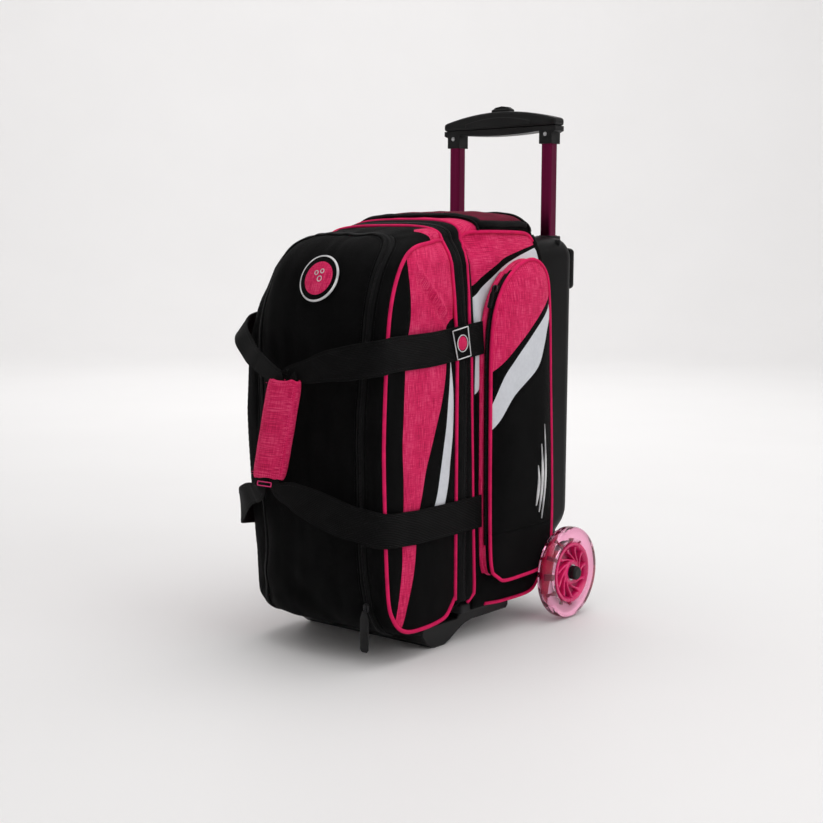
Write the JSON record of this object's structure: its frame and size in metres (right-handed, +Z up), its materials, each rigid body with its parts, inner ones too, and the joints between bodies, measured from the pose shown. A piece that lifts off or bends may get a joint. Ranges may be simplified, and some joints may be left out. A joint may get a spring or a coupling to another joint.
{
  "type": "bowling ball bag",
  "caption": "Upright roller bag for bowling balls and shoes, with telescoping handle, side-hinged front door, side pockets, carry loops and clear wheels.",
  "frame": {"origin": "floor level under the middle of the bag's bounding box", "axes": "+X to the bag's right seen from its front, -Y out of the front door, +Z up along the handle"},
  "size_m": [0.334, 0.495, 0.708],
  "materials": {
    "black_cloth": "woven nylon, matt",
    "pink_cloth": "heather weave, matt",
    "mesh": "open black mesh over pink",
    "webbing": "ribbed webbing",
    "shell": "moulded, satin",
    "plastic": "moulded, fine grain",
    "foam": "closed-cell foam",
    "tube": "plum anodised",
    "raw_tube": "drawn",
    "steel": "plain",
    "tyre": "clear pink polyurethane, gloss",
    "core": "moulded, gloss",
    "zip": "coil zip tape"
  },
  "bodies": {
    "root": {"axle": "steel", "axle_cap_left": "plastic", "axle_cap_right": "plastic", "axle_housing": "plastic", "back_board": "foam", "back_shell": "shell", "base_tray": "black_cloth", "foam_cup_lower": "foam", "foam_cup_upper": "foam", "front_skid": "plastic", "mesh_top_pocket": "mesh", "outer_tube_left": "raw_tube", "outer_tube_right": "raw_tube", "pocket_gusset_left": "pink_cloth", "pocket_gusset_right": "pink_cloth", "rear_side_panel_left": "black_cloth", "rear_side_panel_right": "black_cloth", "rear_top_panel": "pink_cloth", "zip_tape_rear": "zip"},
    "wheel_left": {"wheel_tyre_left": "tyre", "wheel_core_left": "core", "wheel_bearing_left": "steel"},
    "wheel_right": {"wheel_tyre_right": "tyre", "wheel_core_right": "core", "wheel_bearing_right": "steel"},
    "handle_middle": {"middle_tube_left": "tube", "middle_tube_right": "tube"},
    "handle_upper": {"inner_tube_left": "tube", "inner_tube_right": "tube", "grip_top_shell": "plastic", "grip_bottom_shell": "plastic", "grip_insert": "plastic", "grip_screw_left": "steel", "grip_screw_right": "steel", "button_spring": "steel"},
    "button": {"release_button": "plastic", "push_rod_left": "steel", "push_rod_right": "steel"},
    "lock_left": {"lock_pin_left": "steel"},
    "lock_right": {"lock_pin_right": "steel"},
    "door": {"door_front": "black_cloth", "door_bottom": "black_cloth", "door_side_left": "black_cloth", "door_side_right": "black_cloth", "door_divider": "foam", "zip_tape_door": "zip"},
    "flap": {"shoe_flap": "black_cloth"},
    "pocket_left": {"pocket_door_left": "black_cloth"},
    "pocket_right": {"pocket_door_right": "black_cloth"},
    "loop_right": {"carry_loop_right": "webbing", "grip_wrap": "pink_cloth"},
    "loop_left": {"carry_loop_left": "webbing"},
    "main_zip": {"main_slider": "steel"},
    "main_pull": {"main_slider_pull": "steel"},
    "shoe_zip": {"shoe_slider": "steel"},
    "shoe_pull": {"shoe_slider_pull": "steel"},
    "pocket_zip_left": {"pocket_slider_left": "steel"},
    "pocket_pull_left": {"pocket_slider_pull_left": "steel"},
    "pocket_zip_right": {"pocket_slider_right": "steel"},
    "pocket_pull_right": {"pocket_slider_pull_right": "steel"}
  },
  "joints": [
    {"name": "handle_lower_stage", "type": "slide", "parent": "root", "child": "handle_middle", "axis": [0, 0, 1], "range_m": [0, 0.18]},
    {"name": "handle_upper_stage", "type": "slide", "parent": "handle_middle", "child": "handle_upper", "axis": [0, 0, 1], "range_m": [-0.122, 0.14]},
    {"name": "release_button_press", "type": "slide", "parent": "handle_upper", "child": "button", "axis": [0, 0, -1], "range_m": [0, 0.005], "stiffness_N_per_m": 1500, "springref_m": -0.003, "deforming": ["button_spring"]},
    {"name": "lock_pin_left_retract", "type": "slide", "parent": "handle_upper", "child": "lock_left", "axis": [1, 0, 0], "range_m": [0, 0.0025]},
    {"name": "lock_pin_right_retract", "type": "slide", "parent": "handle_upper", "child": "lock_right", "axis": [-1, 0, 0], "range_m": [0, 0.0025]},
    {"name": "wheel_left_spin", "type": "hinge", "parent": "root", "child": "wheel_left", "pos_m": [-0.1485, 0.177, 0.0635], "axis": [1, 0, 0], "continuous": true},
    {"name": "wheel_right_spin", "type": "hinge", "parent": "root", "child": "wheel_right", "pos_m": [0.1485, 0.177, 0.0635], "axis": [1, 0, 0], "continuous": true},
    {"name": "door_swing", "type": "hinge", "parent": "root", "child": "door", "pos_m": [-0.12, -0.023, 0.28], "axis": [0, 0, -1], "range_deg": [0, 90], "deforming": ["carry_loop_left", "carry_loop_right", "grip_wrap"]},
    {"name": "loop_right_swing", "type": "hinge", "parent": "root", "child": "loop_right", "pos_m": [0.1245, 0.012, 0.28], "axis": [0, 0, 1], "range_deg": [0, 100]},
    {"name": "loop_left_swing", "type": "hinge", "parent": "root", "child": "loop_left", "pos_m": [-0.1245, 0.012, 0.28], "axis": [0, 0, -1], "range_deg": [0, 136]},
    {"name": "shoe_flap_fold", "type": "hinge", "parent": "door", "child": "flap", "pos_m": [0, -0.195, 0.426], "axis": [1, 0, 0], "range_deg": [0, 85]},
    {"name": "pocket_left_open", "type": "hinge", "parent": "root", "child": "pocket_left", "pos_m": [-0.1282, 0.16, 0.28], "axis": [0, 0, -1], "range_deg": [0, 60]},
    {"name": "pocket_right_open", "type": "hinge", "parent": "root", "child": "pocket_right", "pos_m": [0.1282, 0.16, 0.28], "axis": [0, 0, 1], "range_deg": [0, 60]},
    {"name": "main_zip_run", "type": "slide", "parent": "root", "child": "main_zip", "axis": [1, 0, 0], "range_m": [0, 0.18]},
    {"name": "main_pull_lift", "type": "hinge", "parent": "main_zip", "child": "main_pull", "pos_m": [-0.0935, -0.023, 0.5487], "axis": [0, -1, 0], "range_deg": [0, 170]},
    {"name": "shoe_zip_run", "type": "slide", "parent": "door", "child": "shoe_zip", "axis": [0, -0.0156, 0.9999], "range_m": [0, 0.22]},
    {"name": "shoe_pull_lift", "type": "hinge", "parent": "shoe_zip", "child": "shoe_pull", "pos_m": [0.096, -0.2011, 0.0745], "axis": [-1, 0, 0], "range_deg": [0, 150]},
    {"name": "pocket_zip_left_run", "type": "slide", "parent": "root", "child": "pocket_zip_left", "axis": [0, -0.33, -0.944], "range_m": [0, 0.05]},
    {"name": "pocket_pull_left_lift", "type": "hinge", "parent": "pocket_zip_left", "child": "pocket_pull_left", "pos_m": [-0.1302, 0.02069, 0.45477], "axis": [-1, 0, 0], "range_deg": [0, 150]},
    {"name": "pocket_zip_right_run", "type": "slide", "parent": "root", "child": "pocket_zip_right", "axis": [0, -0.33, -0.944], "range_m": [0, 0.05]},
    {"name": "pocket_pull_right_lift", "type": "hinge", "parent": "pocket_zip_right", "child": "pocket_pull_right", "pos_m": [0.1302, 0.02069, 0.45477], "axis": [-1, 0, 0], "range_deg": [0, 150]}
  ],
  "couplings": [
    {"joint": "lock_pin_left_retract", "follows": "release_button_press", "ratio": 0.5},
    {"joint": "lock_pin_right_retract", "follows": "release_button_press", "ratio": 0.5},
    {"joint": "loop_right_swing", "follows": "door_swing", "ratio": 1.1},
    {"joint": "loop_left_swing", "follows": "door_swing", "ratio": 1.5}
  ]
}
